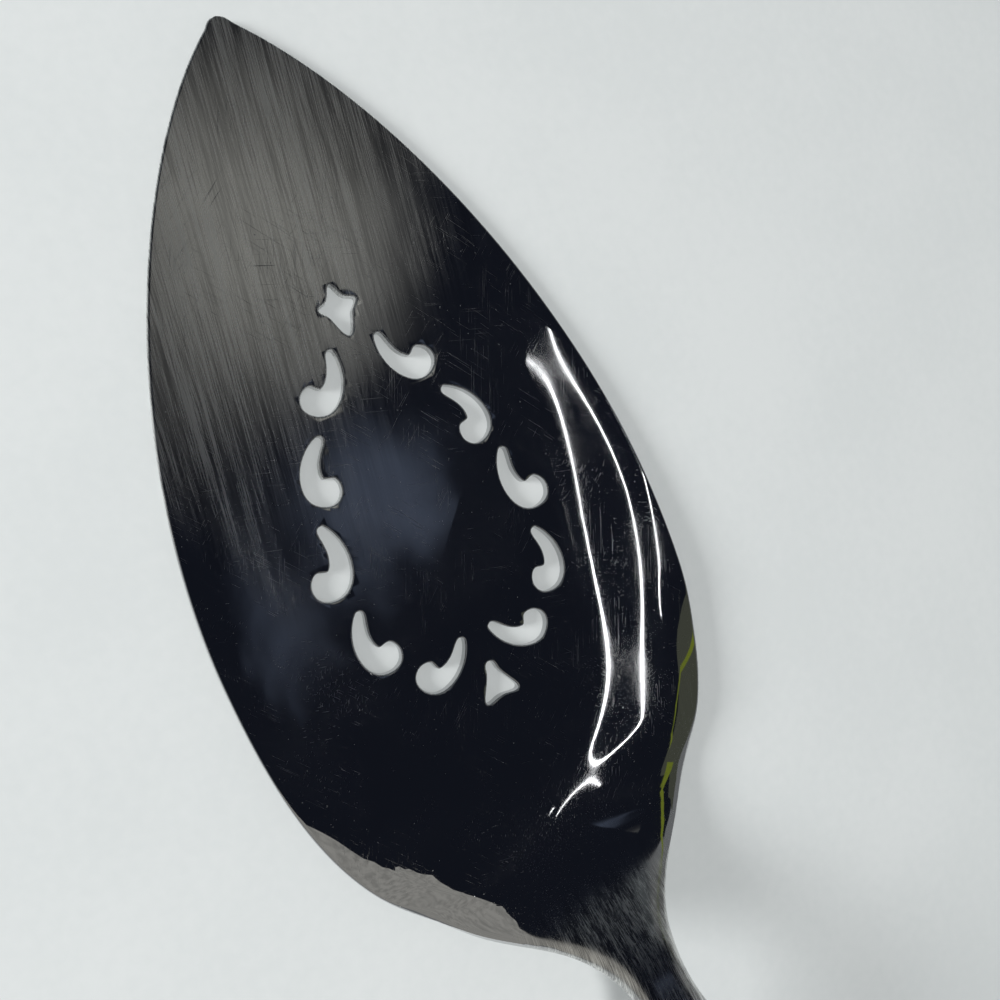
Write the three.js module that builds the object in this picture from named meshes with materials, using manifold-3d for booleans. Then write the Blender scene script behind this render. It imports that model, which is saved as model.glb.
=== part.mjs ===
// Tomato server: a pierced steel blade set in a hollow steel handle.
//
// Millimetres and degrees. +X runs from the tip of the blade to the butt of the handle, +Y is to one
// side and +Z is up. The server lies as it does on a table: the flat underside of the blade and the
// butt of the handle touch z = 0. The origin is on the table, midway between the tip and the butt.

import * as THREE from "three";
import { mergeVertices, toCreasedNormals } from "three/addons/utils/BufferGeometryUtils.js";
import Module from "manifold-3d";

// The leaf of the blade, seen from above. Places along the blade are measured from its tip.
const leafWidth = 57;
const widestFromTip = 67.5;
const heelFromTip = 105.4;
const heelWidth = 30.2;
const tipWidth = 0.8;
const noseLength = 1.2;
const noseWidth = 3.8;

// The leaf in section: a flat floor with shoulders that rise towards the heel.
const leafThickness = 1.3;
const edgeRounding = 0.3;
const shoulderLift = 2.3;
const liftFromTip = 34;
const frontShoulderBand = 6.5;
const rearShoulderBand = 18;

// The neck: it climbs out of the floor on one radius and levels off at the crest on another.
const rampFromTip = 96;
const rampRadius = 20;
const neckSlope = 45;
const straightNeckRun = 4;
const crestRadius = 16;
const neckWidth = 6.8;
const neckThickness = 4.2;

// The bolster at the crest, which the handle seats against, and the tang behind it.
const bolsterWidth = 10.6;
const bolsterHeight = 9;
const bolsterLength = 2.6;
const tangLength = 58;
const tangEndWidth = 3;
const tangEndHeight = 2.2;

// The piercings: a four-pointed star, five pairs of scrolls and a trefoil, set in a garland.
const starFromTip = 34.4;
const garlandLength = 46.9;
const garlandWidth = 25.2;
const scrollLength = 7.8;
const starLength = 6.05;
const trefoilLength = 4.6;
const piercingChamfer = 0.22;

// The hollow handle, its wall, and the collar that closes its mouth.
const handleLength = 118;
const mouthWidth = 10.8;
const mouthHeight = 9.2;
const handleWidth = 21.5;
const handleHeight = 12.6;
const buttLength = 21;
const shellThickness = 0.9;
const collarRimLength = 4;
const collarProud = 0.5;
const collarRounding = 0.45;
const collarWall = 1.1;
const spigotLength = 3.5;
const fillingLength = 74;

// Fits: the gap at a seat and at a soldered seam, and how far a cutter runs past what it cuts.
const seatGap = 0.2;
const seamGap = 0.1;
const overrun = 2;

// Counts of facets, and the angle from which an edge is drawn sharp.
const noseSteps = 3;
const flankSteps = 16;
const shoulderSteps = 12;
const waistSteps = 8;
const flareSteps = 7;
const tangSteps = 5;
const roundingSteps = 3;
const bandSteps = 6;
const piercingSteps = 5;
const ovalSides = 28;
const barrelSteps = 12;
const buttSteps = 7;
const creaseAngle = 30;

// The two controls of each stretch of the blade's outline, as shares of the stretch's span.
const outlineShares = {
  nose: [[0, 0.47], [0.58, 0.62]],
  flank: [[0.176, 0.5], [0.606, 1]],
  shoulder: [[0.55, 0], [0.778, 0.32]],
  waist: [[0.3, 0.37], [0.475, 1]],
  flare: [[0.55, 0], [0.8, 1]],
};

// How steep a shoulder still is at the rim, against its mean slope. How far down the crest the neck is
// narrowest. How much of a bar's half-width and half-height its rounded edges take up, at the neck and
// where it is a full oval, and the least part of the half-width that stays between the shoulders.
const rimSlopeShare = 0.8;
const waistShare = 0.385;
const neckRoundingShare = 0.66;
const ovalShare = 0.97;
const narrowestFloorShare = 0.15;

// One scroll, as shares of its length: +v points at its tail and +u at its lobe. Each node has the
// heading of the outline there and how far the controls of its curve lie before and after it.
const scrollShares = [
  { at: [-0.08, 0.588], heading: 0, before: 0.035, after: 0.14 },
  { at: [-0.026, 0.27], heading: -93, before: 0.187, after: 0.14 },
  { at: [0.077, -0.015], heading: 0, before: 0.055, after: 0.04 },
  { at: [0.212, 0.016], heading: 0, before: 0.045, after: 0.058 },
  { at: [0.35, -0.186], heading: -92, before: 0.1, after: 0.148 },
  { at: [0.077, -0.411], heading: 180, before: 0.16, after: 0.25 },
  { at: [-0.276, 0.09], heading: 90, before: 0.22, after: 0.276 },
];

// One half of the star and of the trefoil, as shares of their lengths, from the front to the rear.
const starShares = [
  { at: [0, 0.5], heading: 0, before: 0.07, after: 0.07 },
  { at: [0.17, 0.235], heading: -48, before: 0.12, after: 0.07 },
  { at: [0.378, 0.11], heading: -90, before: 0.06, after: 0.07 },
  { at: [0.22, -0.1], heading: -112, before: 0.09, after: 0.13 },
  { at: [0, -0.5], heading: 180, before: 0.1, after: 0.1 },
];
const trefoilShares = [
  { at: [0, 0.55], heading: 0, before: 0.1, after: 0.1 },
  { at: [0.145, 0.35], heading: -86, before: 0.1, after: 0.2 },
  { at: [0.485, -0.36], heading: -85, before: 0.12, after: 0.06 },
  { at: [0.385, -0.45], heading: 180, before: 0.06, after: 0.12 },
  { at: [0, -0.39], heading: 180, before: 0.16, after: 0.16 },
];

// The five pairs of scrolls: how far each lies down the garland and out from the middle, as shares of
// its length and half-width, its size as a share, its turn, and whether its lobe faces the middle.
const garlandShares = [
  { down: 0.164, out: 0.415, size: 0.98, turn: 26, lobeInward: false },
  { down: 0.354, out: 0.78, size: 1, turn: 30, lobeInward: true },
  { down: 0.567, out: 1, size: 1.07, turn: 2, lobeInward: false },
  { down: 0.785, out: 0.935, size: 1, turn: 5, lobeInward: true },
  { down: 0.91, out: 0.44, size: 0.95, turn: 53, lobeInward: false },
];

const wasm = await Module();
wasm.setup();

const { degToRad, lerp, smoothstep, smootherstep } = THREE.MathUtils;

// Where the neck, the bolster, the collar and the handle begin and end, from the tip.
const neckAngle = degToRad(neckSlope);
const rampEnd = rampFromTip + rampRadius * Math.sin(neckAngle);
const crestFromTip = rampEnd + straightNeckRun;
const bolsterFront = crestFromTip + crestRadius * Math.sin(neckAngle);
const waistFromTip = lerp(crestFromTip, bolsterFront, waistShare);
const bolsterBack = bolsterFront + bolsterLength;
const collarFront = bolsterBack + seatGap;
const collarBack = collarFront + collarRimLength;
const mouthFromTip = collarBack + seatGap;
const widestHandleFromTip = mouthFromTip + handleLength - buttLength;
const buttFromTip = mouthFromTip + handleLength;
const serverMiddle = buttFromTip / 2;

// Heights of the middle of the steel above the table.
const floorHeight = leafThickness / 2;
const rampEndHeight = floorHeight + rampRadius * (1 - Math.cos(neckAngle));
const climbedHeight = rampEndHeight + straightNeckRun * Math.tan(neckAngle);
const crestHeight = climbedHeight + crestRadius * (1 - Math.cos(neckAngle));

// The handle drops along a parabola from its mouth to its widest place and runs on straight from there,
// just steeply enough for the lowest point of its oval butt to touch the table.
const arcLength = widestHandleFromTip - mouthFromTip;
const steepness = ((2 * buttLength) / arcLength) ** 2;
const levelDrop = crestHeight ** 2 - (handleHeight / 2) ** 2;
const arcDrop =
  (crestHeight - Math.sqrt(crestHeight ** 2 - (1 - steepness) * levelDrop)) / (1 - steepness);
const buttSlope = (2 * arcDrop) / arcLength;

// The middle of the steel at a distance from the tip: its height, and the angle that it climbs at.
function spineAt(x) {
  if (x <= rampFromTip) {
    return { height: floorHeight, angle: 0 };
  }
  if (x <= rampEnd) {
    const angle = Math.asin((x - rampFromTip) / rampRadius);
    return { height: floorHeight + rampRadius * (1 - Math.cos(angle)), angle };
  }
  if (x <= crestFromTip) {
    return { height: rampEndHeight + (x - rampEnd) * Math.tan(neckAngle), angle: neckAngle };
  }
  if (x <= bolsterFront) {
    const angle = Math.asin((bolsterFront - x) / crestRadius);
    return { height: crestHeight - crestRadius * (1 - Math.cos(angle)), angle };
  }
  const along = Math.max(0, x - mouthFromTip);
  if (along <= arcLength) {
    const share = along / arcLength;
    return { height: crestHeight - arcDrop * share ** 2, angle: -Math.atan(buttSlope * share) };
  }
  const height = crestHeight - arcDrop - buttSlope * (along - arcLength);
  return { height, angle: -Math.atan(buttSlope) };
}

// A point of a section that stands square to the spine, y to the side and rise above the spine.
function onSection(x, y, rise) {
  const { height, angle } = spineAt(x);
  const leaning = x - serverMiddle - rise * Math.sin(angle);
  return new THREE.Vector3(leaning, y, height + rise * Math.cos(angle));
}

// A closed body through rings of equally many points. Each end is a fan round the ring's middle.
function loft(rings) {
  const sides = rings[0].length;
  const lastRing = (rings.length - 1) * sides;
  const points = [...rings.flat(), middleOf(rings[0]), middleOf(rings.at(-1))];
  const start = points.length - 2;
  const end = points.length - 1;
  const index = [];
  for (let side = 0; side < sides; side++) {
    const next = (side + 1) % sides;
    index.push(start, next, side);
    for (let ring = 0; ring < lastRing; ring += sides) {
      const beyond = ring + sides;
      index.push(ring + side, ring + next, beyond + next);
      index.push(ring + side, beyond + next, beyond + side);
    }
    index.push(end, lastRing + side, lastRing + next);
  }
  const geometry = new THREE.BufferGeometry().setFromPoints(points);
  geometry.setIndex(index);
  return geometry;
}

function middleOf(ring) {
  const sum = ring.reduce((total, point) => total.add(point), new THREE.Vector3());
  return sum.divideScalar(ring.length);
}

// A three.js geometry as a solid that can be cut and joined, and back.
function solidOf(geometry) {
  const bare = geometry.clone();
  bare.deleteAttribute("normal");
  bare.deleteAttribute("uv");
  const merged = mergeVertices(bare);
  const mesh = new wasm.Mesh({
    numProp: 3,
    vertProperties: new Float32Array(merged.attributes.position.array),
    triVerts: new Uint32Array(merged.index.array),
  });
  return new wasm.Manifold(mesh);
}

function geometryOf(solid) {
  const { vertProperties, triVerts } = solid.getMesh();
  const geometry = new THREE.BufferGeometry();
  geometry.setAttribute("position", new THREE.BufferAttribute(vertProperties, 3));
  geometry.setIndex(new THREE.BufferAttribute(triVerts, 1));
  return geometry;
}

// The half-outline of the forging, from the tip to the bolster, as the stations of its sections: the
// distance from the tip, the half-width there, and how the half-width changes along the blade.
function outlineStations() {
  const corners = [
    new THREE.Vector2(0, tipWidth / 2),
    new THREE.Vector2(noseLength, noseWidth / 2),
    new THREE.Vector2(widestFromTip, leafWidth / 2),
    new THREE.Vector2(heelFromTip, heelWidth / 2),
    new THREE.Vector2(waistFromTip, neckWidth / 2),
    new THREE.Vector2(bolsterFront, bolsterWidth / 2),
  ];
  const steps = [noseSteps, flankSteps, shoulderSteps, waistSteps, flareSteps];
  return Object.values(outlineShares).flatMap((controls, stretch) => {
    const from = corners[stretch];
    const to = corners[stretch + 1];
    const [leaving, arriving] = controls.map(
      ([along, across]) => new THREE.Vector2(lerp(from.x, to.x, along), lerp(from.y, to.y, across)),
    );
    const curve = new THREE.CubicBezierCurve(from, leaving, arriving, to);
    const shares = [...Array(steps[stretch]).keys()].map((step) => step / steps[stretch]);
    return shares.map((share) => {
      const { x, y } = curve.getPoint(share);
      const tangent = curve.getTangent(share);
      return { x, halfWidth: y, squareness: Math.abs(tangent.x) };
    });
  });
}

const outline = outlineStations();

// How high the shoulders stand above the floor, how wide the band is that they rise over, and how
// thick and how rounded the steel is, at a distance from the tip.
function leafSectionAt(x) {
  const risen = smootherstep(x, liftFromTip, heelFromTip);
  const sunk = smootherstep(x, rampFromTip, rampEnd);
  const necked = smootherstep(x, rampFromTip, waistFromTip);
  const bolstered = smootherstep(x, waistFromTip, bolsterFront);
  const thickness = lerp(lerp(leafThickness, neckThickness, necked), bolsterHeight, bolstered);
  const roundedShare = lerp(neckRoundingShare, ovalShare, bolstered);
  return {
    lift: shoulderLift * risen * (1 - sunk),
    band: lerp(frontShoulderBand, rearShoulderBand, risen),
    thickness,
    sideRounding: (halfWidth) => lerp(edgeRounding, halfWidth * roundedShare, necked),
    faceRounding: lerp(edgeRounding, (thickness / 2) * ovalShare, necked),
  };
}

// How high a shoulder stands at a place some way inside the rim, measured square to it. It leaves the
// floor level, is steepest half-way up and eases off towards the rim.
function shoulderHeight({ lift, band }, inside) {
  const outward = Math.max(0, 1 - inside / band);
  return lift * outward ** 2 * (3 - rimSlopeShare - (2 - rimSlopeShare) * outward);
}

// One section of the blade: from the edge inwards come the rounded edge, the shoulder band and the
// floor. The same distances serve both faces and both sides.
function bladeRing(x, halfWidth, squareness, section) {
  const { band, thickness, sideRounding, faceRounding } = section;
  const acrossBand = Math.min(band / squareness, (1 - narrowestFloorShare) * halfWidth);
  const rounding = Math.min(sideRounding(halfWidth) / squareness, halfWidth * ovalShare);
  const insets = [];
  for (let step = 0; step <= roundingSteps; step++) {
    const turn = (Math.PI / 2) * (1 - step / roundingSteps);
    insets.push({ inset: rounding * (1 - Math.sin(turn)), drop: faceRounding * (1 - Math.cos(turn)) });
  }
  const floorInset = Math.max(acrossBand, lerp(rounding, halfWidth, narrowestFloorShare));
  for (let step = 1; step <= bandSteps; step++) {
    insets.push({ inset: lerp(rounding, floorInset, step / bandSteps), drop: 0 });
  }
  const half = insets.map(({ inset, drop }) => {
    return { y: halfWidth - inset, drop, raised: shoulderHeight(section, inset * squareness) };
  });
  half.push({ y: 0, drop: 0, raised: half.at(-1).raised });
  const otherHalf = half.slice(0, -1).reverse();
  const across = [...half, ...otherHalf.map((place) => ({ ...place, y: -place.y }))];
  const top = across.map(({ y, drop, raised }) => onSection(x, y, thickness / 2 - drop + raised));
  const under = across.map(({ y, drop, raised }) => onSection(x, y, drop - thickness / 2 + raised));
  return [...top, ...under.reverse()];
}

// The mouth of the handle's cavity, the collar's spigot in it, the bore of the collar, and the tang in
// that bore, each worked out from the one round it.
const cavityMouth = { y: mouthWidth / 2 - shellThickness, z: mouthHeight / 2 - shellThickness };
const spigot = { y: cavityMouth.y - seatGap, z: cavityMouth.z - seatGap };
const bore = { y: spigot.y - collarWall, z: spigot.z - collarWall };
const tangRoot = { y: bore.y - seatGap, z: bore.z - seatGap };
const tangEnd = bolsterBack + tangLength;

function tangAt(x) {
  const tapered = smoothstep(x, collarBack + spigotLength, tangEnd);
  return {
    y: lerp(tangRoot.y, tangEndWidth / 2, tapered),
    z: lerp(tangRoot.z, tangEndHeight / 2, tapered),
  };
}

// The blade, its neck, bolster and tang, as one forging before it is pierced.
function forging() {
  const leafRings = outline.map(({ x, halfWidth, squareness }) =>
    bladeRing(x, halfWidth, squareness, leafSectionAt(x)),
  );
  const bolster = leafSectionAt(bolsterFront);
  const bolsterRings = [bolsterFront, bolsterBack].map((x) =>
    bladeRing(x, bolsterWidth / 2, 1, bolster),
  );
  const tangRings = [];
  for (let step = 0; step <= tangSteps; step++) {
    const x = lerp(bolsterBack, tangEnd, step / tangSteps);
    const { y, z } = tangAt(x);
    const oval = {
      ...bolster,
      thickness: 2 * z,
      sideRounding: () => y * ovalShare,
      faceRounding: z * ovalShare,
    };
    tangRings.push(bladeRing(x, y, 1, oval));
  }
  return solidOf(loft([...leafRings, ...bolsterRings, ...tangRings]));
}

// A closed outline through nodes given as shares of a length.
function outlineThrough(nodes, length) {
  const places = nodes.map(({ at: [u, v], heading, before, after }) => {
    const direction = new THREE.Vector2(length, 0).rotateAround(new THREE.Vector2(), degToRad(heading));
    const place = new THREE.Vector2(u * length, v * length);
    return {
      place,
      arriving: place.clone().addScaledVector(direction, -before),
      leaving: place.clone().addScaledVector(direction, after),
    };
  });
  const shape = new THREE.Shape().moveTo(places[0].place.x, places[0].place.y);
  places.forEach(({ leaving }, i) => {
    const { arriving, place } = places[(i + 1) % places.length];
    shape.bezierCurveTo(leaving.x, leaving.y, arriving.x, arriving.y, place.x, place.y);
  });
  return shape;
}

// Nodes seen in a mirror, in the order that still goes the same way round.
function flipped(nodes) {
  return nodes.toReversed().map(({ at: [u, v], heading, before, after }) => ({
    at: [-u, v],
    heading: -heading,
    before: after,
    after: before,
  }));
}

// Both halves of an outline that is the same on both sides.
function mirrored(half) {
  return [...half, ...flipped(half).slice(1, -1)];
}

// How high the shoulder lifts the steel at a place on the leaf.
function liftAt(fromTip, y) {
  const beyond = outline.findIndex(({ x }) => x > fromTip);
  const [before, after] = [outline[beyond - 1], outline[beyond]];
  const share = (fromTip - before.x) / (after.x - before.x);
  const halfWidth = lerp(before.halfWidth, after.halfWidth, share);
  const squareness = lerp(before.squareness, after.squareness, share);
  return shoulderHeight(leafSectionAt(fromTip), (halfWidth - Math.abs(y)) * squareness);
}

// The punch for one piercing at its place on the leaf: a straight shank, and a wider head that leaves a
// chamfer round the top of the hole and follows the shoulder there. With no turn, +v of its outline
// points at the tip of the blade.
function punch(nodes, length, fromTip, y, turn) {
  const shape = outlineThrough(nodes, length);
  const shank = new THREE.ExtrudeGeometry(shape, {
    depth: leafThickness + 2 * overrun,
    curveSegments: piercingSteps,
    bevelEnabled: false,
  });
  const head = new THREE.ExtrudeGeometry(shape, {
    depth: overrun,
    curveSegments: piercingSteps,
    bevelThickness: piercingChamfer,
    bevelSize: piercingChamfer,
    bevelSegments: 1,
  });
  for (const [cutter, bottom] of [[shank, -overrun], [head, leafThickness]]) {
    cutter.rotateZ(Math.PI / 2 + degToRad(turn)).translate(fromTip - serverMiddle, y, bottom);
  }
  const { position } = head.attributes;
  for (let i = 0; i < position.count; i++) {
    const lift = liftAt(position.getX(i) + serverMiddle, position.getY(i));
    position.setZ(i, position.getZ(i) + lift);
  }
  return [solidOf(shank), solidOf(head)];
}

function pierce(blade) {
  const punches = [
    ...punch(mirrored(starShares), starLength, starFromTip, 0, 0),
    ...punch(mirrored(trefoilShares), trefoilLength, starFromTip + garlandLength, 0, 0),
  ];
  for (const { down, out, size, turn, lobeInward } of garlandShares) {
    const fromTip = starFromTip + garlandLength * down;
    const offset = (garlandWidth / 2) * out;
    for (const side of [1, -1]) {
      const scroll = (side > 0) === lobeInward ? flipped(scrollShares) : scrollShares;
      punches.push(...punch(scroll, scrollLength * size, fromTip, side * offset, side * turn));
    }
  }
  return punches.reduce((left, cutter) => left.subtract(cutter), blade);
}

// An oval section of the handle or of what is in it, and a closed body through such sections.
function ovalRing(x, { y, z }) {
  const turns = [...Array(ovalSides).keys()].map((side) => (2 * Math.PI * side) / ovalSides);
  return turns.map((turn) => onSection(x, y * Math.cos(turn), z * Math.sin(turn)));
}

function ovalBar(places, sectionAt) {
  return solidOf(loft(places.map((x) => ovalRing(x, sectionAt(x)))));
}

function evenly(from, to, steps) {
  return [...Array(steps + 1).keys()].map((step) => lerp(from, to, step / steps));
}

// Half the width and height of the handle, less a wall. It swells from the mouth to its widest place
// and closes in a half oval, which the cavity follows one wall inside.
function handleAt(x, wall) {
  const swollen = smoothstep(x, mouthFromTip, widestHandleFromTip);
  const beyond = Math.max(0, x - widestHandleFromTip) / (buttLength - wall);
  const closing = Math.sqrt(Math.max(0, 1 - beyond ** 2));
  return {
    y: (lerp(mouthWidth, handleWidth, swollen) / 2 - wall) * closing,
    z: (lerp(mouthHeight, handleHeight, swollen) / 2 - wall) * closing,
  };
}

// Sections of the handle, closer together as its end closes, and stopping just short of the very end.
function handlePlaces(front, wall) {
  const barrel = evenly(mouthFromTip, widestHandleFromTip, barrelSteps);
  const butt = evenly(0, Math.PI / 2, buttSteps).map(
    (turn) => widestHandleFromTip + (buttLength - wall) * Math.sin(turn),
  );
  const lastShare = Math.cos(Math.PI / (4 * buttSteps));
  butt[buttSteps] = widestHandleFromTip + (buttLength - wall) * lastShare;
  return [...front, ...barrel, ...butt.slice(1)];
}

// A stamped half of the hollow handle: the part of the shell above or below the seam.
function handleShell(above) {
  const outside = ovalBar(handlePlaces([], 0), (x) => handleAt(x, 0));
  const cavity = ovalBar(handlePlaces([mouthFromTip - overrun], shellThickness), (x) =>
    handleAt(x, shellThickness),
  );
  const direction = above ? 1 : -1;
  const seam = evenly(mouthFromTip - overrun, buttFromTip + overrun, 2 * barrelSteps).map((x) => {
    const { x: along, z: height } = onSection(x, 0, (direction * seamGap) / 2);
    return new THREE.Vector2(along, height);
  });
  const far = direction * (crestHeight + handleHeight);
  const halfSpace = new THREE.Shape([
    ...seam,
    new THREE.Vector2(seam.at(-1).x, far),
    new THREE.Vector2(seam[0].x, far),
  ]);
  const breadth = handleWidth + 2 * overrun;
  const keeper = new THREE.ExtrudeGeometry(halfSpace, { depth: breadth, bevelEnabled: false });
  keeper.rotateX(Math.PI / 2).translate(0, breadth / 2, 0);
  return outside.subtract(cavity).intersect(solidOf(keeper));
}

// An upright oval plate or bar along the server, from one place to another, at the height of the crest.
function ovalPlate(from, to, { y, z }, rounding) {
  const outline = new THREE.Shape().absellipse(0, 0, y - rounding, z - rounding, 0, 2 * Math.PI);
  const plate = new THREE.ExtrudeGeometry(outline, {
    depth: to - from - 2 * rounding,
    curveSegments: ovalSides,
    bevelEnabled: rounding > 0,
    bevelThickness: rounding,
    bevelSize: rounding,
    bevelSegments: roundingSteps,
  });
  const toTheSide = new THREE.Vector3(0, 1, 0);
  const upwards = new THREE.Vector3(0, 0, 1);
  const along = new THREE.Vector3(1, 0, 0);
  plate.applyMatrix4(new THREE.Matrix4().makeBasis(toTheSide, upwards, along));
  return solidOf(plate.translate(from + rounding - serverMiddle, 0, crestHeight));
}

// The collar: a rounded rim between the bolster and the handle's mouth, and a spigot in the mouth.
function collar() {
  const rimSize = { y: mouthWidth / 2 + collarProud, z: mouthHeight / 2 + collarProud };
  const rim = ovalPlate(collarFront, collarBack, rimSize, collarRounding);
  const plug = ovalPlate(collarBack - collarRounding, collarBack + spigotLength, spigot, 0);
  const hole = ovalPlate(collarFront - overrun, collarBack + spigotLength + overrun, bore, 0);
  return rim.add(plug).subtract(hole);
}

// The cement that fills the handle behind the collar and holds the tang.
function filling() {
  const front = collarBack + spigotLength + seatGap;
  const back = front + fillingLength;
  const body = ovalBar(evenly(front, back, barrelSteps), (x) => handleAt(x, shellThickness + seatGap));
  const socketEnd = tangEnd + seatGap;
  const socket = ovalBar([front - overrun, ...evenly(front, socketEnd, tangSteps)], (x) => {
    const { y, z } = tangAt(x);
    return { y: y + seatGap, z: z + seatGap };
  });
  return body.subtract(socket);
}

// The finishes.
const steel = { color: 0x8e9195, metalness: 1 };
const polishedSteel = new THREE.MeshStandardMaterial({ ...steel, roughness: 0.22 });
const stampedSteel = new THREE.MeshStandardMaterial({ ...steel, roughness: 0.28 });
const turnedSteel = new THREE.MeshStandardMaterial({ ...steel, roughness: 0.18 });
const cement = new THREE.MeshStandardMaterial({ color: 0x6f675c, metalness: 0, roughness: 0.9 });

const server = new THREE.Group();
for (const [name, solid, material] of [
  ["blade", pierce(forging()), polishedSteel],
  ["collar", collar(), turnedSteel],
  ["handle_upper_shell", handleShell(true), stampedSteel],
  ["handle_lower_shell", handleShell(false), stampedSteel],
  ["handle_filling", filling(), cement],
]) {
  const piece = new THREE.Mesh(toCreasedNormals(geometryOf(solid), degToRad(creaseAngle)), material);
  piece.name = name;
  server.add(piece);
}

export default server;
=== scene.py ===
import math

import bpy
from mathutils import Euler, Matrix, Vector


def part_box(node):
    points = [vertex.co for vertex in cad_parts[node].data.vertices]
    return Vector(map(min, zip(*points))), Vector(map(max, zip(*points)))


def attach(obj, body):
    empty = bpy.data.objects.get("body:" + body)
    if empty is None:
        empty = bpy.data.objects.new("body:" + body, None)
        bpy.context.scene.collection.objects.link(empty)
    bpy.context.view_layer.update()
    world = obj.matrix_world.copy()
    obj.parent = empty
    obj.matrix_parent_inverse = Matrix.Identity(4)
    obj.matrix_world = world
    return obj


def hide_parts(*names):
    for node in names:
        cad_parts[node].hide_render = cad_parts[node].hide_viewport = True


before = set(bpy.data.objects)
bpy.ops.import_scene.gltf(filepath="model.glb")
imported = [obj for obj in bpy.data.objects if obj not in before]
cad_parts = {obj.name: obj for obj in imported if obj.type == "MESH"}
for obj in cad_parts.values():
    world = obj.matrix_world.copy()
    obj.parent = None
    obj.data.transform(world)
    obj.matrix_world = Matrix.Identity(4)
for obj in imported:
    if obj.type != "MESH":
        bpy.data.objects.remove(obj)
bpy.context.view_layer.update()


# Camera
# It stands where the photograph was taken: close above the blade and a little to its left, so that
# the blade runs from the upper left of the picture to the neck at its lower edge.

view_point = Vector((-0.075878, -0.034463, 0.112150))
view_turn = Euler([math.radians(angle) for angle in (3.137, -22.047, 65.707)])
focal_length = 36
sensor_width = 36
nearest_seen = 0.005

lens = bpy.data.cameras.new("camera")
lens.lens = focal_length
lens.sensor_width = sensor_width
lens.clip_start = nearest_seen
camera = bpy.data.objects.new("camera", lens)
camera.matrix_world = Matrix.LocRotScale(view_point, view_turn, None)
bpy.context.collection.objects.link(camera)
bpy.context.scene.camera = camera
bpy.context.scene.view_settings.view_transform = "Standard"


# Table
# A pale grey painted board with a faint mottle, far larger than the picture. The server lies on it.


class Wire:
    """What comes out of a node. Arithmetic on it adds Math nodes, and node() adds any other."""

    def __init__(self, tree, socket=None):
        self.tree = tree
        self.socket = socket

    def node(self, kind, settings, inputs, output=0):
        made = self.tree.nodes.new(kind)
        for name, value in settings.items():
            setattr(made, name, value)
        for name, value in inputs.items():
            if isinstance(value, Wire):
                self.tree.links.new(value.socket, made.inputs[name])
            else:
                made.inputs[name].default_value = value
        return Wire(self.tree, made.outputs[output])

    def maths(self, operation, first, second):
        return self.node("ShaderNodeMath", {"operation": operation}, {0: first, 1: second})

    def __add__(self, other):
        return self.maths("ADD", self, other)

    def __sub__(self, other):
        return self.maths("SUBTRACT", self, other)

    def __rsub__(self, other):
        return self.maths("SUBTRACT", other, self)

    def __mul__(self, other):
        return self.maths("MULTIPLY", self, other)

    __radd__ = __add__
    __rmul__ = __mul__

    def part(self, axis):
        return self.node("ShaderNodeSeparateXYZ", {}, {"Vector": self}, axis)

    def away(self, centre):
        """How far this place is from another."""
        inputs = {0: self, 1: centre}
        return self.node("ShaderNodeVectorMath", {"operation": "DISTANCE"}, inputs, "Value")

    def between(self, low, high, start=0.0, end=1.0):
        """A smooth step from start, where this is low, to end, where it is high."""
        settings = {"interpolation_type": "SMOOTHSTEP"}
        inputs = {"Value": self, "From Min": low, "From Max": high, "To Min": start, "To Max": end}
        return self.node("ShaderNodeMapRange", settings, inputs)

    def noise(self, size, stretch=(1, 1, 1), turn=0.0, detail=2.0, shift=0.0):
        """Noise whose patches measure size metres, longer or shorter by stretch, turned in plan."""
        scale = [1 / (size * along) for along in stretch]
        turned = self.node(
            "ShaderNodeMapping",
            {"vector_type": "TEXTURE"},
            {"Vector": self, "Rotation": (0, 0, math.radians(turn)), "Location": (shift, shift, 0)},
        )
        laid = turned.node("ShaderNodeMapping", {}, {"Vector": turned, "Scale": scale})
        return laid.node("ShaderNodeTexNoise", {}, {"Vector": laid, "Scale": 1, "Detail": detail})

    def blend(self, first, second):
        """A colour between two others, by this as the share of the second."""
        colours = [value if isinstance(value, Wire) else (*value, 1) for value in (first, second)]
        return self.node(
            "ShaderNodeMix",
            {"data_type": "RGBA"},
            {"Factor": self, "A": colours[0], "B": colours[1]},
            "Result",
        )


def finish_of(name, constants):
    """A new material, the wire of its object coordinates, and a call that links its shader."""
    material = bpy.data.materials.new(name)
    material.use_nodes = True
    tree = material.node_tree
    shader = tree.nodes["Principled BSDF"]
    for socket, value in constants.items():
        shader.inputs[socket].default_value = value
    place = Wire(tree).node("ShaderNodeTexCoord", {}, {}, output="Object")

    def link(wires):
        for socket, wire in wires.items():
            tree.links.new(wire.socket, shader.inputs[socket])

    return material, place, link


def dress(piece, finish):
    """Gives a piece one material, in place of any that it has."""
    piece.data.materials.clear()
    piece.data.materials.append(finish)


board_reach = 3
board_roughness = 0.6
blotch_size = 0.03
blotch_share = 0.7
speck_size = 0.0015
speck_share = 0.3
mottle_range = (0.35, 0.65)
board_pale = (0.690, 0.720, 0.717)
board_paler = (0.725, 0.752, 0.748)

bpy.ops.object.select_all(action="DESELECT")
bpy.ops.mesh.primitive_plane_add(size=board_reach)
table = bpy.context.object
table.name = "table"
paint, place, link = finish_of("board_paint", {"Roughness": board_roughness})
blotches = place.noise(blotch_size, detail=4)
specks = place.noise(speck_size, detail=2)
mottle = blotches * blotch_share + specks * speck_share
link({"Base Color": mottle.between(*mottle_range).blend(board_pale, board_paler)})
dress(table, paint)


# Light
# A soft lamp low on the left, a small one overhead and a pale room. The dark ceiling, the grey
# wall, the cards over the blade and two thin tubes show only as reflections in the steel.

room_colour = (0.86, 0.89, 0.90)
room_strength = 0.25

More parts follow.
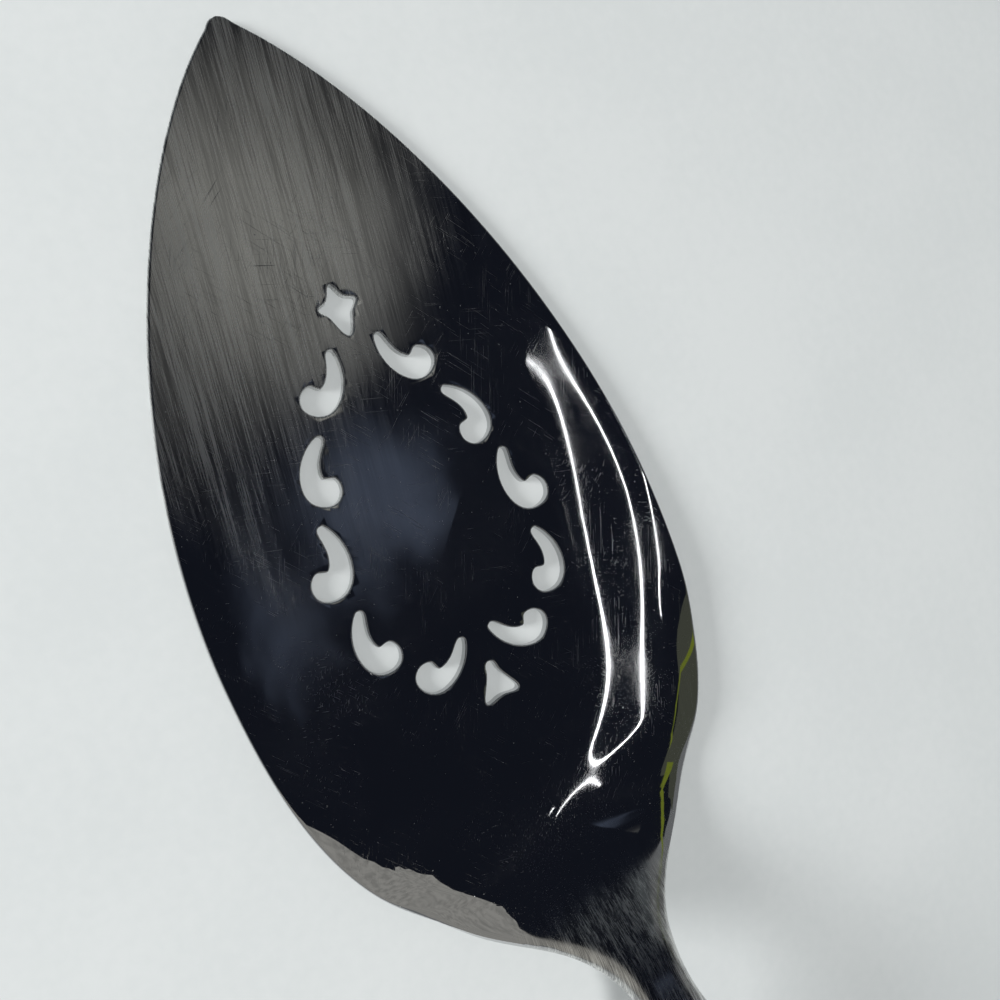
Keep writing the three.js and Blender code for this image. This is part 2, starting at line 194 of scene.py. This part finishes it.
low_lamp = (Vector((-0.42, -0.86, 0.36)), 0.35, 9)
overhead_lamp = (Vector((-0.10, -0.10, 0.90)), 0.15, 4)

for stand, size, power in [low_lamp, overhead_lamp]:
    bpy.ops.object.light_add(type="AREA", location=stand)
    lamp = bpy.context.object
    lamp.data.size = size
    lamp.data.energy = power
    lamp.rotation_euler = (-stand).to_track_quat("-Z", "Y").to_euler()
    lamp.visible_glossy = False

room = bpy.data.worlds.new("room")
room.use_nodes = True
room.node_tree.nodes["Background"].inputs["Color"].default_value = (*room_colour, 1)
room.node_tree.nodes["Background"].inputs["Strength"].default_value = room_strength
bpy.context.scene.world = room


def card(name, corners, colour, strength=1):
    """A flat card that only reflections see, with its corners in order round it."""
    bpy.ops.mesh.primitive_circle_add(vertices=len(corners), radius=1, fill_type="NGON")
    made = bpy.context.object
    made.name = name
    for vertex, corner in zip(made.data.vertices, corners):
        vertex.co = corner
    glow, place, link = finish_of(name, {
        "Base Color": (0, 0, 0, 1),
        "Specular IOR Level": 0,
        "Emission Color": (*colour, 1),
        "Emission Strength": strength,
    })
    dress(made, glow)
    made.visible_camera = made.visible_diffuse = made.visible_shadow = False
    return place, link


ceiling_height = 0.95
ceiling_reach = 1.1
dark_ceiling = (0.010, 0.012, 0.019)
wall_colour = (0.17, 0.19, 0.20)
tube_width = 0.0034
far_end_width = 0.0008
tube_strength = 8
near_tube = [Vector((-0.130, 0.389, 0.74)), Vector((0.138, 0.079, 0.74))]
far_tube = [Vector((-0.094, 0.470, 0.74)), Vector((0.077, 0.206, 0.74))]


def tube(name, far_end, near_end):
    """A straight lamp tube, as a strip that faces down and narrows to its far end."""
    across = (near_end - far_end).cross(Vector((0, 0, 1))).normalized()
    card(name, [
        far_end - across * far_end_width / 2, far_end + across * far_end_width / 2,
        near_end + across * tube_width / 2, near_end - across * tube_width / 2,
    ], (1, 1, 1), tube_strength)


card("ceiling", [
    Vector((x * ceiling_reach, y * ceiling_reach, ceiling_height))
    for x, y in [(-1, -1), (1, -1), (1, 1), (-1, 1)]
], dark_ceiling)
card("wall", [
    Vector((-ceiling_reach, y * ceiling_reach, z * ceiling_height))
    for y, z in [(-1, 0), (1, 0), (1, 1), (-1, 1)]
], wall_colour)
tube("near_tube", *near_tube)
tube("far_tube", *far_tube)

# The cards over the blade. The high one is dark, with a grey cloud over the tip of the blade and a
# faint blue one over its middle. The low one ends where the shoulder begins, so that only the
# shoulder sees the tubes. The left rim sees the pale rim card, and the right rim sees the olive
# card and the green strip.
card_height = 0.112
low_card_height = 0.0205
strip_drop = 0.0002
tip_grey = (0.44, 0.44, 0.41)
tip_cloud = (-0.129, 0.022, card_height)
middle_blue = (0.072, 0.088, 0.125)
middle_cloud = (-0.063, 0.026, card_height)
cloud_core = 0.004
tip_cloud_reach = 0.048
middle_cloud_reach = 0.026
ragged_size = 0.02
ragged_reach = 0.04
rim_fleck_size = 0.0012
rim_fleck_range = (0.35, 0.7)
rim_grey = (0.29, 0.285, 0.265)
rim_pale_grey = (0.42, 0.41, 0.38)
rim_green = (0.20, 0.24, 0.03)
rim_olive = (0.080, 0.085, 0.065)

place, link = card("high_card", [
    Vector((x, y, card_height))
    for x, y in [(-0.200, 0.174), (-0.200, -0.130), (0.090, -0.130), (0.025, -0.024)]
], dark_ceiling)
uneven = (place.noise(ragged_size, detail=3) - 0.5) * ragged_reach
tip_share = (place.away(tip_cloud) + uneven).between(cloud_core, tip_cloud_reach, 1, 0)
middle_share = (place.away(middle_cloud) + uneven).between(cloud_core, middle_cloud_reach, 1, 0)
blue = middle_share.blend(dark_ceiling, middle_blue)
link({"Emission Color": tip_share.blend(blue, tip_grey)})
card("low_card", [
    Vector((x, y, low_card_height))
    for x, y in [
        (-0.0780, 0.0275), (-0.0700, 0.0268), (-0.0600, 0.0245), (-0.0510, 0.0215),
        (-0.0420, 0.0187), (-0.0350, 0.0155), (-0.0292, 0.0110), (-0.0264, 0.0075),
        (-0.0252, 0.0054), (-0.0236, 0.0052), (-0.0235, 0.0095), (-0.0238, 0.0140),
        (-0.0240, 0.0200), (-0.0242, 0.0300), (-0.0130, 0.0300), (-0.0130, -0.0092),
        (-0.0207, -0.0096), (-0.0224, -0.0108), (-0.0252, -0.0121), (-0.0265, -0.0143),
        (-0.0340, -0.0150), (-0.0457, -0.0047), (-0.0575, 0.0057), (-0.0692, 0.0160),
        (-0.0780, 0.0237),
    ]
], dark_ceiling)
place, link = card("rim_card", [
    Vector((x, y, low_card_height))
    for x, y in [
        (-0.0337, -0.0320), (-0.0332, -0.0285), (-0.0302, -0.0262), (-0.0267, -0.0240),
        (-0.0245, -0.0215), (-0.0240, -0.0185), (-0.0257, -0.0165), (-0.0262, -0.0145),
        (-0.0250, -0.0126), (-0.0222, -0.0112), (-0.0205, -0.0100), (0.0200, -0.0080),
        (0.0300, -0.0600), (-0.0250, -0.0750), (-0.0372, -0.0450),
    ]
], rim_grey)
flecks = place.noise(rim_fleck_size, detail=5)
link({"Emission Color": flecks.between(*rim_fleck_range).blend(rim_pale_grey, rim_grey)})
card("olive_card", [
    Vector((x, y, card_height))
    for x, y in [(0.000, 0.088), (0.135, 0.088), (0.135, 0.150), (0.000, 0.150)]
], rim_olive)
card("green_strip", [
    Vector((x, y, low_card_height - strip_drop))
    for x, y in [
        (-0.0287, 0.0440), (-0.0277, 0.0440), (-0.0258, 0.0330), (-0.0243, 0.0283),
        (-0.0172, 0.0268), (-0.0092, 0.0318), (-0.0085, 0.0306), (-0.0172, 0.0255),
        (-0.0252, 0.0266), (-0.0268, 0.0330),
    ]
], rim_green)


# Blade
# One forging of stainless steel: the pierced leaf with its raised shoulders, the neck that climbs
# from it, the bolster at the top of the neck and the tang inside the handle. It is drawn out,
# dished and pierced, and then brushed along its length and polished.

blade_low, blade_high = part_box("blade")
tip = blade_low.x
leaf_width = blade_high.y - blade_low.y
widest_from_tip = 0.0675
heel_from_tip = 0.1054
heel_width = 0.0302
tip_width = 0.0008
nose_length = 0.0012
nose_width = 0.0038
leaf_thickness = 0.0013
edge_rounding = 0.0003
shoulder_lift = 0.00227
lift_from_tip = 0.0314
front_shoulder_band = 0.0076
rear_shoulder_band = 0.0210
rim_slope_share = 0.41
shoulder_sink = (0.0939, 0.1089)
rim_land = 0.0034
rim_land_tilt = 0.19
rim_land_grows = (0.078, 0.090)
rim_land_ends = (0.106, 0.113)
valley_width = 0.003
ramp_from_tip = 0.096
ramp_radius = 0.020
neck_angle = math.radians(45)
straight_neck_run = 0.004
crest_radius = 0.016
neck_width = 0.0068
neck_thickness = 0.0042
waist_share = 0.385
neck_rounding_share = 0.66
oval_share = 0.97
bolster_width = 0.0106
bolster_height = 0.009
bolster_length = 0.0026
bolster_rounding = 0.0004

ramp_end = ramp_from_tip + ramp_radius * math.sin(neck_angle)
crest_from_tip = ramp_end + straight_neck_run
bolster_front = crest_from_tip + crest_radius * math.sin(neck_angle)
bolster_back = bolster_front + bolster_length
waist_from_tip = crest_from_tip + (bolster_front - crest_from_tip) * waist_share
floor_height = leaf_thickness / 2
climb = ramp_radius * (1 - math.cos(neck_angle)) + straight_neck_run * math.tan(neck_angle)
climb_length = 2 * climb / math.tan(neck_angle)
climb_start = crest_from_tip - climb_length
crest_height = floor_height + climb + crest_radius * (1 - math.cos(neck_angle))

outline_shares = [
    [(0, 0.47), (0.58, 0.62)],
    [(0.176, 0.5), (0.606, 1)],
    [(0.55, 0), (0.778, 0.32)],
    [(0.3, 0.37), (0.475, 1)],
    [(0.55, 0), (0.8, 1)],
]
stretch_steps = [6, 64, 48, 28, 18]
rounding_steps = 6
inner_steps = 34
rim_crowding = 1.5
least_squareness = 0.001


def part_way(first, second, share):
    return first + (second - first) * share


def risen(value, low, high):
    """A smooth rise from 0 at low to 1 at high, level and uncurved at both."""
    share = min(max((value - low) / (high - low), 0), 1)
    return share**3 * (share * (share * 6 - 15) + 10)


def evenly(start, end, steps):
    return [part_way(start, end, step / steps) for step in range(steps + 1)]


def on_curve(points, share):
    """A place on the curve that its points control, and the way that the curve runs there."""
    while len(points) > 2:
        points = [before.lerp(after, share) for before, after in zip(points, points[1:])]
    return points[0].lerp(points[1], share), (points[1] - points[0]).normalized()


def spine_at(from_tip):
    """How high the middle of the steel stands, and the angle that it climbs at.

    The slope rises smoothly from level to the neck's, and the height is the area under it.
    """
    if from_tip <= crest_from_tip:
        share = max(from_tip - climb_start, 0) / climb_length
        climbed = climb_length * share**4 * (share * (share - 3) + 2.5)
        slope = risen(from_tip, climb_start, crest_from_tip)
        steepness = math.tan(neck_angle)
        return floor_height + climbed * steepness, math.atan(slope * steepness)
    if from_tip <= bolster_front:
        angle = math.asin((bolster_front - from_tip) / crest_radius)
        return crest_height - crest_radius * (1 - math.cos(angle)), angle
    return crest_height, 0


def on_section(from_tip, across, rise, spine=spine_at):
    """A place on a section that stands square to the spine."""
    height, angle = spine(from_tip)
    return Vector((
        tip + from_tip - rise * math.sin(angle), across, height + rise * math.cos(angle)
    ))


def outline_stations():
    """The sections of the leaf and neck: distance from the tip, half-width and squareness."""
    corners = [
        Vector(corner)
        for corner in [
            (0, tip_width / 2),
            (nose_length, nose_width / 2),
            (widest_from_tip, leaf_width / 2),
            (heel_from_tip, heel_width / 2),
            (waist_from_tip, neck_width / 2),
            (bolster_front, bolster_width / 2),
        ]
    ]
    stations = []
    for start, end, shares, steps in zip(corners, corners[1:], outline_shares, stretch_steps):
        controls = [
            Vector((part_way(start.x, end.x, along), part_way(start.y, end.y, across)))
            for along, across in shares
        ]
        for share in evenly(0, 1, steps)[:-1]:
            spot, way = on_curve([start, *controls, end], share)
            stations.append((spot.x, spot.y, max(abs(way.x), least_squareness)))
    return stations


stations = outline_stations()


def raised_at(from_tip, across):
    """How far the dished shoulder stands above the flat floor."""
    after = next(i for i, station in enumerate(stations) if station[0] > from_tip)
    (low, low_half, low_square), (high, high_half, high_square) = stations[after - 1 : after + 1]
    share = (from_tip - low) / (high - low)
    half_width = part_way(low_half, high_half, share)
    squareness = part_way(low_square, high_square, share)
    return shoulder_height(from_tip, across, half_width, squareness)


def shoulder_height(from_tip, across, half_width, squareness):
    """The same, on a section of this half-width and squareness."""
    grown = risen(from_tip, lift_from_tip, heel_from_tip)
    lift = shoulder_lift * grown * (1 - risen(from_tip, *shoulder_sink))
    band = part_way(front_shoulder_band, rear_shoulder_band, grown)
    inside = (half_width - math.hypot(across, valley_width)) * squareness
    outward = max(0, 1 - inside / band)
    turned = risen(from_tip, *rim_land_grows) * (1 - risen(from_tip, *rim_land_ends))
    turned_down = rim_land_tilt * turned * max(0, rim_land - inside)
    return lift * outward**2 * (3 - rim_slope_share - (2 - rim_slope_share) * outward) - turned_down


def blade_ring(from_tip, half_width, squareness, thickness, side_rounding, face_rounding):
    """One section, over the top face from edge to edge and back along the underside."""
    rounding = min(side_rounding / squareness, half_width * oval_share)
    spots = []
    for turn in evenly(math.pi / 2, 0, rounding_steps):
        across = half_width - rounding * (1 - math.sin(turn))
        spots.append((across, face_rounding * (1 - math.cos(turn))))
    last = spots[-1][0]
    spots += [(last * (1 - share**rim_crowding), 0) for share in evenly(0, 1, inner_steps)[1:]]
    half = [
        (across, thickness / 2 - drop, shoulder_height(from_tip, across, half_width, squareness))
        for across, drop in spots
    ]
    top = half + [(-across, rise, raised) for across, rise, raised in reversed(half[:-1])]
    under = [(across, -rise, raised) for across, rise, raised in reversed(top)]
    return [on_section(from_tip, across, rise + raised) for across, rise, raised in top + under]


same_place = 1e-8


def bar_through(name, rings):
    """A closed bar through rings of places: a sheet that is rolled up, joined and capped."""
    sides, length = len(rings[0]), len(rings) - 1
    bpy.ops.mesh.primitive_grid_add(x_subdivisions=sides, y_subdivisions=length, size=1)
    bar = bpy.context.object
    bar.name = bar.data.name = name
    for vertex in bar.data.vertices:
        side = round((vertex.co.x + 0.5) * sides)
        ring = round((vertex.co.y + 0.5) * length)
        vertex.co = rings[ring][side % sides]
    bpy.ops.object.mode_set(mode="EDIT")
    bpy.ops.mesh.remove_doubles(threshold=same_place)
    bpy.ops.mesh.fill_holes(sides=0)
    bpy.ops.mesh.normals_make_consistent(inside=False)
    bpy.ops.object.mode_set(mode="OBJECT")
    return bar


def choose(pieces):
    """Selects these pieces and no others, and makes the first one active."""
    bpy.ops.object.select_all(action="DESELECT")
    for piece in pieces:
        piece.select_set(True)
    bpy.context.view_layer.objects.active = pieces[0]


def apply(piece, kind, **settings):
    """Adds a modifier to a piece and applies it."""
    choose([piece])
    modifier = piece.modifiers.new(kind, kind)
    for name, value in settings.items():
        setattr(modifier, name, value)
    bpy.ops.object.modifier_apply(modifier=modifier.name)


def cut(piece, cutter):
    """Cuts a piece with another, which is then done with."""
    apply(piece, "BOOLEAN", object=cutter, operation="DIFFERENCE", solver="EXACT")
    bpy.data.objects.remove(cutter)


sharp_angle = math.radians(32)
flat_weight = 75


def smooth(piece):
    """Shades a piece smooth between its sharp edges, with its flats left true."""
    choose([piece])
    bpy.ops.object.shade_smooth_by_angle(angle=sharp_angle)
    apply(piece, "WEIGHTED_NORMAL", keep_sharp=True, weight=flat_weight)


def leaf_rings():
    rings = []
    for from_tip, half_width, squareness in stations:
        necked = risen(from_tip, ramp_from_tip, waist_from_tip)
        bolstered = risen(from_tip, waist_from_tip, bolster_front)
        thickness = part_way(
            part_way(leaf_thickness, neck_thickness, necked), bolster_height, bolstered
        )
        rounded_share = part_way(neck_rounding_share, oval_share, bolstered)
        side_rounding = part_way(edge_rounding, half_width * rounded_share, necked)
        face_rounding = part_way(edge_rounding, thickness / 2 * oval_share, necked)
        rings.append(
            blade_ring(from_tip, half_width, squareness, thickness, side_rounding, face_rounding)
        )
    return rings


def oval_bar_ring(from_tip, half_width, half_height):
    return blade_ring(
        from_tip, half_width, 1, 2 * half_height, half_width * oval_share, half_height * oval_share
    )


bolster_rings = [oval_bar_ring(bolster_front, bolster_width / 2, bolster_height / 2)]
for turn in evenly(0, math.pi / 2, rounding_steps):
    eased = bolster_rounding * (1 - math.cos(turn))
    place_along = bolster_back - bolster_rounding * (1 - math.sin(turn))
    bolster_rings.append(
        oval_bar_ring(place_along, bolster_width / 2 - eased, bolster_height / 2 - eased)
    )

tang_root_width = 0.0056
tang_root_height = 0.0040
tang_end_width = 0.003
tang_end_height = 0.0022
tang_steps = 6
tang_rings = [
    oval_bar_ring(
        from_tip,
        part_way(tang_root_width, tang_end_width, step / tang_steps) / 2,
        part_way(tang_root_height, tang_end_height, step / tang_steps) / 2,
    )
    for step, from_tip in enumerate(evenly(bolster_back, blade_high.x - tip, tang_steps))
]
blade = bar_through("polished_blade", leaf_rings() + bolster_rings + tang_rings)

# Each piercing is an outline through nodes: their places as shares of its length, the heading of
# the outline there, and how far the controls of the curve lie before and after the node.
star_from_tip = 0.0344
garland_length = 0.0469
garland_width = 0.0252
scroll_length = 0.0078
star_length = 0.00605
trefoil_length = 0.0046
lip_radius = 0.00038
lip_steps = 5
lip_turn = math.radians(68)
lip_overshoot = 0.0002
overrun = 0.002
curve_steps = 9

scroll_shares = [
    (-0.08, 0.588, 0, 0.035, 0.14),
    (-0.026, 0.27, -93, 0.187, 0.14),
    (0.077, -0.015, 0, 0.055, 0.04),
    (0.212, 0.016, 0, 0.045, 0.058),
    (0.35, -0.186, -92, 0.1, 0.148),
    (0.077, -0.411, 180, 0.16, 0.25),
    (-0.276, 0.09, 90, 0.22, 0.276),
]
star_shares = [
    (0, 0.5, 0, 0.07, 0.07),
    (0.17, 0.235, -48, 0.12, 0.07),
    (0.378, 0.11, -90, 0.06, 0.07),
    (0.22, -0.1, -112, 0.09, 0.13),
    (0, -0.5, 180, 0.1, 0.1),
]
trefoil_shares = [
    (0, 0.55, 0, 0.1, 0.1),
    (0.145, 0.35, -86, 0.1, 0.2),
    (0.485, -0.36, -85, 0.12, 0.06),
    (0.385, -0.45, 180, 0.06, 0.12),
    (0, -0.39, 180, 0.16, 0.16),
]
garland_shares = [
    (0.164, 0.415, 0.98, 26, False),
    (0.354, 0.78, 1, 30, True),
    (0.567, 1, 1.07, 2, False),
    (0.785, 0.935, 1, 5, True),
    (0.91, 0.44, 0.95, 53, False),
]


def flipped(nodes):
    """Nodes seen in a mirror, in the order that still goes the same way round."""
    return [(-u, v, -heading, after, before) for u, v, heading, before, after in reversed(nodes)]


def whole(nodes):
    """The outline that these nodes are one half of."""
    return nodes + flipped(nodes)[1:-1]


def heading_of(degrees):
    """The way that a heading points, as a vector of length 1."""
    return Vector((math.cos(math.radians(degrees)), math.sin(math.radians(degrees))))


def piercing_cutter(nodes, length, from_tip, across, turn):
    """The punch for one piercing. It flares at the top, so that the edge of the hole rolls over."""
    rim = []
    for (u, v, heading, _, after), (next_u, next_v, next_heading, before, _) in zip(
        nodes, nodes[1:] + nodes[:1]
    ):
        start, end = Vector((u, v)), Vector((next_u, next_v))
        leaving, arriving = heading_of(heading), heading_of(next_heading)
        controls = [start, start + leaving * after, end - arriving * before, end]
        for share in evenly(0, 1, curve_steps)[:-1]:
            spot, way = on_curve(controls, share)
            rim.append((spot * length, Vector((-way.y, way.x))))
    turned = Matrix.Rotation(math.pi / 2 + math.radians(turn), 2)

    def ring(offset, height):
        spots = []
        for spot, outward in rim:
            x, y = turned @ (spot + outward * offset)
            top = leaf_thickness + raised_at(from_tip + x, across + y)
            spots.append(Vector((tip + from_tip + x, across + y, top + height)))
        return spots

    rings = [ring(0, -leaf_thickness - overrun)]
    depth = lip_radius * math.sin(lip_turn)
    for angle in evenly(0, lip_turn, lip_steps):
        rolled = lip_radius * (1 - math.cos(angle))
        rings.append(ring(rolled, lip_radius * math.sin(angle) - depth))
    flare = lip_radius * (1 - math.cos(lip_turn)) + lip_overshoot * math.sin(lip_turn)
    rings.append(ring(flare, lip_overshoot * math.cos(lip_turn)))
    rings.append(ring(flare, overrun))
    return bar_through("cutter", [list(reversed(spots)) for spots in rings])


trefoil_from_tip = star_from_tip + garland_length
cutters = [
    piercing_cutter(whole(star_shares), star_length, star_from_tip, 0, 0),
    piercing_cutter(whole(trefoil_shares), trefoil_length, trefoil_from_tip, 0, 0),
]
for down, out, size, turn, lobe_inward in garland_shares:
    for side in (1, -1):
        nodes = flipped(scroll_shares) if (side > 0) == lobe_inward else scroll_shares
        from_tip = star_from_tip + garland_length * down
        across = side * garland_width / 2 * out
        cutters.append(
            piercing_cutter(nodes, scroll_length * size, from_tip, across, side * turn)
        )
choose(cutters)
bpy.ops.object.join()
cut(blade, cutters[0])
smooth(blade)

# The brushing is coarse at the tip, worn thin over the middle and coarse again on the neck. Use has
# left scratches across it, frosted spots and dust, and the polished shoulders mirror sharply. Where
# it is brushed, the colour has painted shade in the grooves of the lines and a painted sheen on
# their ridges.
steel_colour = (0.50, 0.505, 0.515)
# Painted shade for the grooves of the brush lines, and a painted sheen for their ridges.
painted_groove_shade = (0.30, 0.30, 0.30)
painted_ridge_sheen = (0.86, 0.86, 0.84)
dust_colour = (0.75, 0.76, 0.76)
brush_turn = -9
brushed_from_tip = 0.022
bare_from_tip = 0.060
brushing_slant = 0.9
patch_size = 0.012
patch_reach = 0.04
patch_range = (0.45, 0.75)
patch_brushing = 0.1
neck_brushing = (0.0042, 0.0085)
shoulder_polish = (0.00135, 0.0017)
fine_line_width = 0.00011
fine_stretch = (90, 1, 8)
crossing_line_width = 0.00010
crossing_stretch = (70, 1, 8)
crossing_turn = brush_turn + 5
broad_line_width = 0.0012
broad_stretch = (16, 1, 3)
broad_turn = brush_turn + 1
fine_share = 0.45
crossing_share = 0.25
broad_share = 0.3
line_range = (0.40, 0.62)
polished_roughness = 0.012
patch_roughness = 0.03
brushed_roughness = 0.13
line_roughness = 0.22
scratch_roughness = 0.25
dust_roughness = 0.5
scratch_edge = 0.05
scratch_patch_size = 0.008
scratch_patch_range = (0.45, 0.6)
dust_size = 0.00035
dust_range = (0.775, 0.80)
scratch_sets = [
    (38, 0.00007, 70, 0.74),
    (-52, 0.00006, 70, 0.75),
    (74, 0.00008, 60, 0.76),
    (-24, 0.00006, 90, 0.72),
]

blade_finish, place, link = finish_of("blade_steel", {"Metallic": 1})
along = place.part("X")
height = place.part("Z")
patches = place.noise(patch_size, detail=3)
slanted = along + place.part("Y") * brushing_slant + (patches - 0.5) * patch_reach
tip_share = slanted.between(tip + brushed_from_tip, tip + bare_from_tip, 1, 0)
neck_share = height.between(*neck_brushing)
polished = height.between(*shoulder_polish)
brushed_patches = patches.between(*patch_range) * patch_brushing
brushed = tip_share * (1 - polished) + neck_share + brushed_patches

fine = place.noise(fine_line_width, fine_stretch, brush_turn, detail=2)
crossing = place.noise(crossing_line_width, crossing_stretch, crossing_turn, detail=2, shift=0.7)
broad = place.noise(broad_line_width, broad_stretch, broad_turn, detail=3, shift=0.3)
lines = fine * fine_share + crossing * crossing_share + broad * broad_share
lines = lines.between(*line_range)

# Each set of scratches has a heading, a width, a length in widths and the noise that it starts at.
# The shifts keep the sets from lying in the same places.
scratches = 0
for turn, size, length, low in scratch_sets:
    across = place.noise(size, (length, 1, 1), turn, detail=0, shift=turn / 100)
    where = place.noise(scratch_patch_size, detail=1, shift=-turn / 50)
    shown = where.between(*scratch_patch_range)
    scratches = across.between(low, low + scratch_edge) * shown + scratches
dust = place.noise(dust_size, detail=1, shift=2).between(*dust_range)

roughness = patches * patch_roughness + brushed * (lines * line_roughness + brushed_roughness)
roughness = roughness + scratches * scratch_roughness + dust * dust_roughness
# The brushed places take their lines as painted shade in the grooves and a painted sheen on the
# ridges.
painted_brush_shade_and_sheen = lines.blend(painted_groove_shade, painted_ridge_sheen)
link({
    "Base Color": dust.blend(brushed.blend(steel_colour, painted_brush_shade_and_sheen), dust_colour),
    "Roughness": roughness + polished_roughness,
})
dress(blade, blade_finish)
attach(blade, "root")
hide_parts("blade")


# Collar
# A turned ring of steel that closes the mouth of the handle. Its rim is seated between the bolster
# and the two shells, and its spigot goes into their mouth.

collar_low, collar_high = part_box("collar")
collar_front = collar_low.x - tip
rim_length = 0.004
rim_rounding = 0.00045
rim_half_width = (collar_high.y - collar_low.y) / 2
rim_half_height = (collar_high.z - collar_low.z) / 2
spigot_length = 0.0035
spigot_half_width = 0.0043
spigot_half_height = 0.0035
collar_wall = 0.0011
oval_sides = 96


def oval_ring(from_tip, half_width, half_height):
    turns = [2 * math.pi * side / oval_sides for side in range(oval_sides)]
    return [
        on_section(from_tip, half_width * math.cos(turn), half_height * math.sin(turn))
        for turn in turns
    ]


def rounded_rim(start, end, half_width, half_height, rounding):
    """Oval rings of a plate whose two edges are rounded over."""
    quarter = evenly(0, math.pi / 2, rounding_steps)
    rings = []
    for edge, inward, turns in [(start, 1, quarter), (end, -1, reversed(quarter))]:
        for turn in turns:
            eased = rounding * (1 - math.sin(turn))
            along = edge + inward * rounding * (1 - math.cos(turn))
            rings.append(oval_ring(along, half_width - eased, half_height - eased))
    return rings


collar_back = collar_front + rim_length
collar_rings = rounded_rim(
    collar_front, collar_back, rim_half_width, rim_half_height, rim_rounding
)
collar_rings += [
    oval_ring(collar_back, spigot_half_width, spigot_half_height),
    oval_ring(collar_back + spigot_length, spigot_half_width, spigot_half_height),
]
collar = bar_through("turned_collar", collar_rings)
bore = [spigot_half_width - collar_wall, spigot_half_height - collar_wall]
cut(collar, bar_through("bore", [
    oval_ring(collar_front - overrun, *bore),
    oval_ring(collar_back + spigot_length + overrun, *bore),
]))
smooth(collar)

turned_colour = (0.56, 0.56, 0.57)
turning_width = 0.00008
turning_stretch = (1, 40, 40)
turning_range = (0.3, 0.7)
rough_turning_range = (0.4, 0.7)
turned_roughness = (0.08, 0.2)

collar_finish, place, link = finish_of("collar_steel", {"Metallic": 1})
turning = place.noise(turning_width, turning_stretch, detail=3)
link({
    "Base Color": turning.between(*turning_range).blend(steel_colour, turned_colour),
    "Roughness": turning.between(*rough_turning_range, *turned_roughness),
})
dress(collar, collar_finish)
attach(collar, "root")
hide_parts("collar")


# Handle
# Two halves stamped from steel sheet and soldered along both sides, so that only a hairline seam
# shows. The hollow handle swells from its mouth to a rounded butt that rests on the table.

shell_low, shell_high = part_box("handle_upper_shell")
mouth_from_tip = shell_low.x - tip
butt_from_tip = shell_high.x - tip
mouth_half_width = 0.0054
mouth_half_height = 0.0046
handle_half_width = (shell_high.y - shell_low.y) / 2
handle_half_height = 0.0063
butt_length = 0.021
shell_thickness = 0.0009
seam_gap = 0.00006
barrel_steps = 60
butt_steps = 24
butt_closed_share = 0.985
half_oval_sides = 48

widest_handle = butt_from_tip - butt_length
arc_length = widest_handle - mouth_from_tip

# The handle drops along the arc just so far that the straight butt comes to rest on the table.
level_drop = crest_height**2 - handle_half_height**2
drop_factor = 1 - (2 * butt_length / arc_length) ** 2
arc_drop = (crest_height - math.sqrt(crest_height**2 - drop_factor * level_drop)) / drop_factor
butt_slope = 2 * arc_drop / arc_length


def handle_spine(from_tip):
    """The handle drops along an arc to its widest place and runs on straight to the butt."""
    along = from_tip - mouth_from_tip
    if along <= arc_length:
        share = along / arc_length
        return crest_height - arc_drop * share**2, -math.atan(butt_slope * share)
    return crest_height - arc_drop - butt_slope * (along - arc_length), -math.atan(butt_slope)


def handle_size(from_tip, wall):
    """Half the width and height of the handle, or of its cavity one wall inside."""
    share = min(max((from_tip - mouth_from_tip) / arc_length, 0), 1)
    swollen = share**2 * (3 - 2 * share)
    beyond = min(max(from_tip - widest_handle, 0) / (butt_length - wall), 1)
    closing = math.sqrt(1 - beyond**2)
    return (
        (part_way(mouth_half_width, handle_half_width, swollen) - wall) * closing,
        (part_way(mouth_half_height, handle_half_height, swollen) - wall) * closing,
    )


def shell_ring(from_tip, side):
    """A half-oval section of one shell: round its outside, and back round its inside."""
    spots = []
    for wall, turns in [
        (0, evenly(0, math.pi, half_oval_sides)),
        (shell_thickness, evenly(math.pi, 0, half_oval_sides)),
    ]:
        half_width, half_height = handle_size(from_tip, wall)
        for turn in turns:
            rise = side * (half_height * math.sin(turn) + seam_gap / 2)
            spots.append(on_section(from_tip, half_width * math.cos(turn), rise, handle_spine))
    return spots if side > 0 else list(reversed(spots))


handle_places = evenly(mouth_from_tip, widest_handle, barrel_steps)
handle_places += [
    widest_handle + butt_length * math.sin(turn)
    for turn in evenly(0, math.pi / 2 * butt_closed_share, butt_steps)[1:]
]
handled_colour = (0.55, 0.55, 0.56)
polish_line_width = 0.00012
polish_stretch = (50, 1, 1)
polish_range = (0.3, 0.7)
rough_polish_range = (0.45, 0.75)
handled_roughness = (0.10, 0.2)

shell_finish, place, link = finish_of("handle_steel", {"Metallic": 1})
polish = place.noise(polish_line_width, polish_stretch, detail=3)
link({
    "Base Color": polish.between(*polish_range).blend(steel_colour, handled_colour),
    "Roughness": polish.between(*rough_polish_range, *handled_roughness),
})
for name, node, side in [
    ("upper_shell", "handle_upper_shell", 1),
    ("lower_shell", "handle_lower_shell", -1),
]:
    shell = bar_through(name, [shell_ring(from_tip, side) for from_tip in handle_places])
    smooth(shell)
    dress(shell, shell_finish)
    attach(shell, "root")
    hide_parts(node)


# Filling
# The cement that is poured into the handle round the tang, where it sets hard and holds the blade.
# The shells hide it, so its solid is kept and only its material is new.

cement_colour = (0.14, 0.125, 0.105)
pale_cement_colour = (0.20, 0.185, 0.16)
grain_size = 0.0004
grain_range = (0.3, 0.7)
cement_roughness = (0.8, 0.95)

cement, place, link = finish_of("cement", {})
grain = place.noise(grain_size, detail=5)
link({
    "Base Color": grain.between(*grain_range).blend(cement_colour, pale_cement_colour),
    "Roughness": grain.between(*grain_range, *cement_roughness),
})
dress(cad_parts["handle_filling"], cement)
